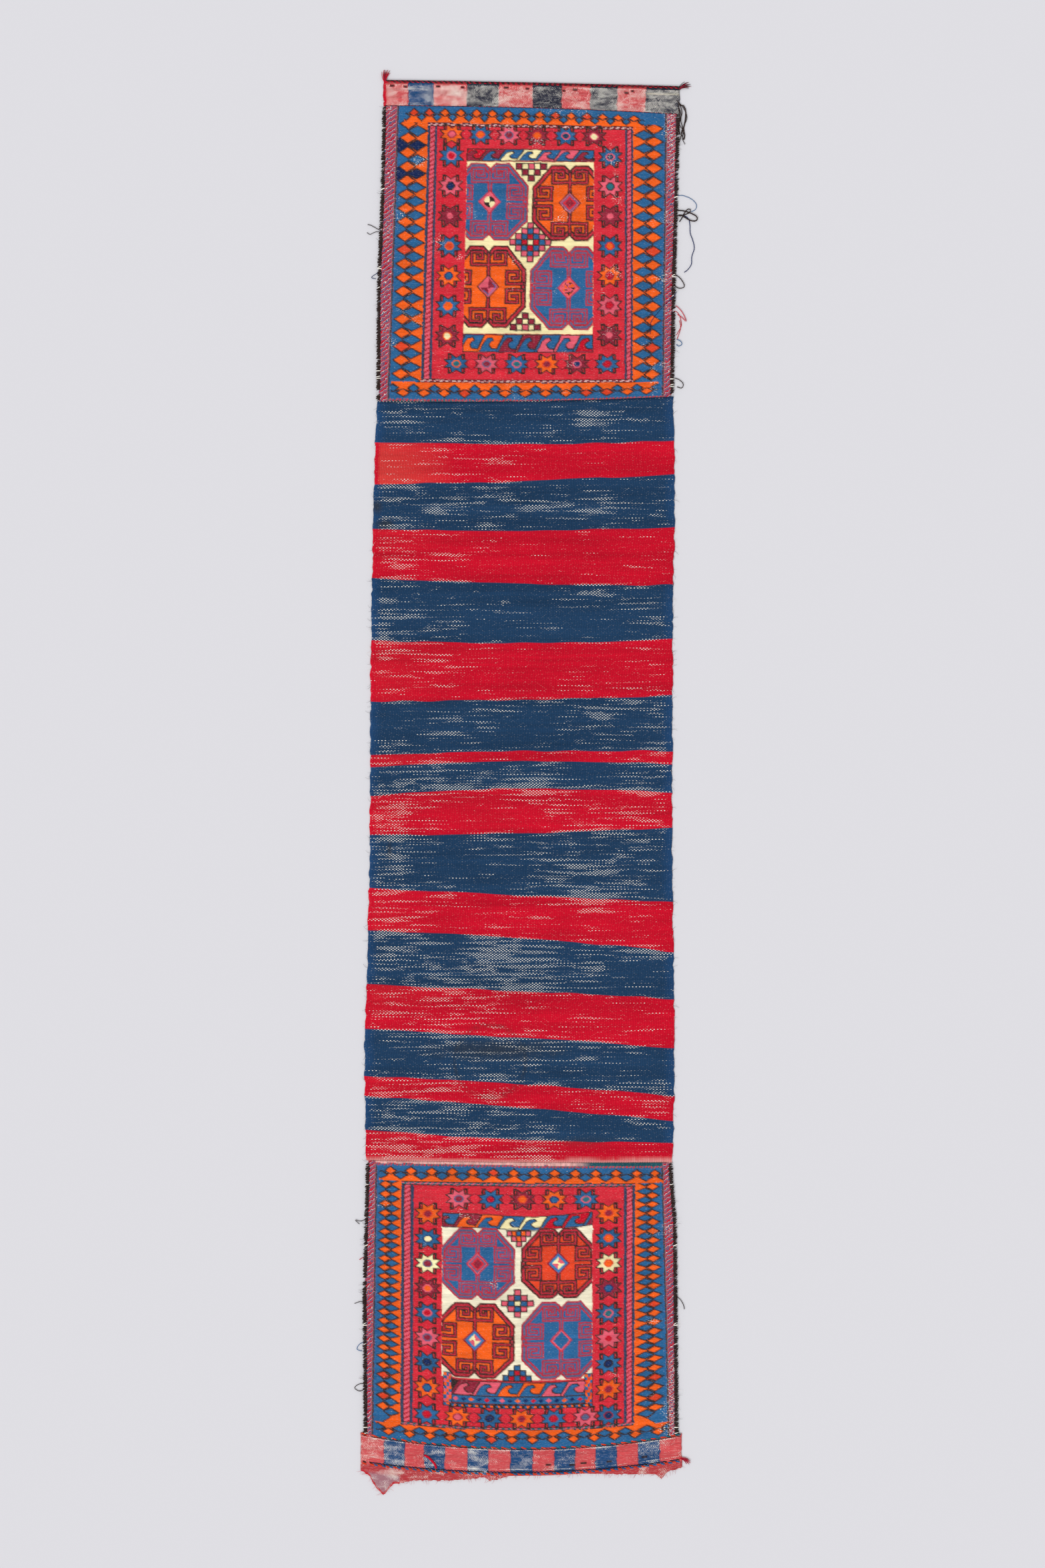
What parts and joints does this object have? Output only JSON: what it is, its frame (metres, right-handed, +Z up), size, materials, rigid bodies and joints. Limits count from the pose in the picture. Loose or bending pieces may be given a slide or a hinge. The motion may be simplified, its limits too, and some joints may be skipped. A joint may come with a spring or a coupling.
{
  "type": "soumak saddle bag opened out flat",
  "caption": "Woven woollen saddle bag with its side seams unpicked and opened out flat: patterned soumak faces at both ends, closure bands, and striped cloth between.",
  "frame": {"origin": "middle of the underside of the bag as it lies open, on the surface that it rests on", "axes": "+Y along the warp towards the upper end, +X across the cloth to the right, +Z up out of the patterned side"},
  "size_m": [0.5386, 2.2772, 0.004],
  "materials": {
    "patterned_wool": "matt hand-spun wool in madder red, indigo blue and orange",
    "dark_wool": "matt dark brown goat hair and wool",
    "red_wool": "matt madder red wool",
    "blue_wool": "matt indigo blue wool"
  },
  "bodies": {
    "root": {"woven_cloth": "patterned_wool", "whipping_upper_left": "dark_wool", "whipping_upper_right": "dark_wool", "whipping_lower_left": "dark_wool", "whipping_lower_right": "dark_wool", "corner_tuft_upper_left": "red_wool", "corner_tuft_upper_right": "dark_wool", "corner_tuft_lower_right": "red_wool", "seam_yarn_upper_bundle": "dark_wool", "seam_yarn_pale_loop": "blue_wool", "seam_yarn_long": "blue_wool", "seam_yarn_red": "red_wool"}
  },
  "joints": []
}
